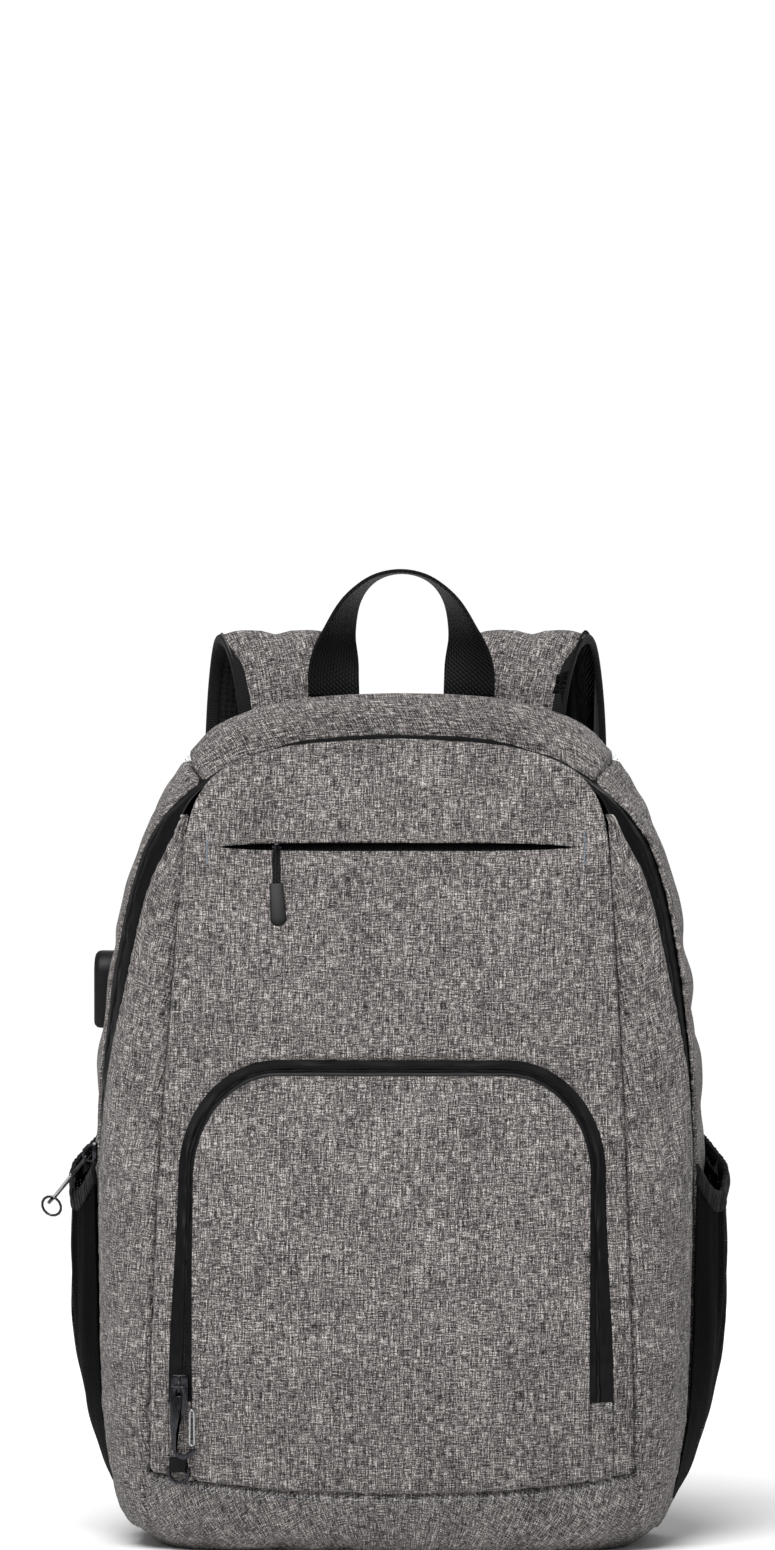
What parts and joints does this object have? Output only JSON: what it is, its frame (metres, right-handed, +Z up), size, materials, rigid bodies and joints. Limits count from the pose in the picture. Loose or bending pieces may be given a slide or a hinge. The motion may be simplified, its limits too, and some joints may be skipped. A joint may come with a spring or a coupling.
{
  "type": "anti theft backpack",
  "caption": "Day backpack with a main zip over the top, arched front pocket zip, clasping zip heads, mesh side pockets, charging port, haul handle and padded shoulder straps.",
  "frame": {"origin": "on the floor under the bag, in the middle plane between the sides, 85 mm in front of the back face", "axes": "+Z up, -Y out of the front of the bag, +X towards the wearer's right when the bag is worn, which is the right of a picture taken from the front"},
  "size_m": [0.3736, 0.2268, 0.5254],
  "materials": {
    "woven_cloth": "heather grey woven polyester, matt",
    "zip_tape": "black coated zip tape, satin",
    "stretch_mesh": "black knitted stretch mesh",
    "webbing": "black ribbed polyester webbing",
    "plastic": "black moulded acetal",
    "rubber": "black soft-touch rubber",
    "dark_metal": "black lacquered zinc",
    "wire": "spring steel wire"
  },
  "bodies": {
    "bag": {"back_panel": "woven_cloth", "base_panel": "woven_cloth", "d_ring": "dark_metal", "d_ring_tab": "webbing", "front_gusset_left": "woven_cloth", "front_gusset_right": "woven_cloth", "front_panel": "woven_cloth", "haul_handle": "webbing", "ladder_lock_left": "plastic", "ladder_lock_right": "plastic", "main_clasp_body": "dark_metal", "main_slider": "dark_metal", "main_zipper_tape": "zip_tape", "pocket_hem_left": "webbing", "pocket_hem_right": "webbing", "pocket_panel": "woven_cloth", "pocket_slider": "dark_metal", "pocket_zipper_tape": "zip_tape", "rear_gusset_left": "woven_cloth", "rear_gusset_right": "woven_cloth", "shoulder_strap_left": "woven_cloth", "shoulder_strap_right": "woven_cloth", "side_pocket_left": "stretch_mesh", "side_pocket_right": "stretch_mesh", "side_ring": "dark_metal", "slash_pull_cord": "webbing", "slash_pull_grip": "rubber", "slash_slider": "dark_metal", "slash_zipper": "zip_tape", "strap_anchor_left": "woven_cloth", "strap_anchor_right": "woven_cloth", "strap_webbing_left": "webbing", "strap_webbing_right": "webbing", "top_gusset": "woven_cloth", "usb_port_housing": "rubber", "zip_garage_left": "woven_cloth", "zip_garage_right": "woven_cloth"},
    "pocket_clasp": {"pocket_clasp_body": "dark_metal"},
    "pocket_gate": {"pocket_clasp_gate": "wire"},
    "main_gate": {"main_clasp_gate": "wire"}
  },
  "joints": [
    {"name": "pocket_clasp_swing", "type": "hinge", "parent": "bag", "child": "pocket_clasp", "pos_m": [-0.112, -0.08985, 0.08771], "axis": [-1, 0, 0], "range_deg": [0, 35]},
    {"name": "pocket_gate_lever", "type": "hinge", "parent": "pocket_clasp", "child": "pocket_gate", "pos_m": [-0.10519, -0.08985, 0.07708], "axis": [0, 1, 0], "range_deg": [0, 12], "stiffness_Nm_per_rad": 0.0005, "springref_deg": -5.73},
    {"name": "main_gate_lever", "type": "hinge", "parent": "bag", "child": "main_gate", "pos_m": [-0.17573, -0.0127, 0.19862], "axis": [0.7533, -0.0377, -0.6566], "range_deg": [0, 12], "stiffness_Nm_per_rad": 0.0005, "springref_deg": -5.73}
  ]
}
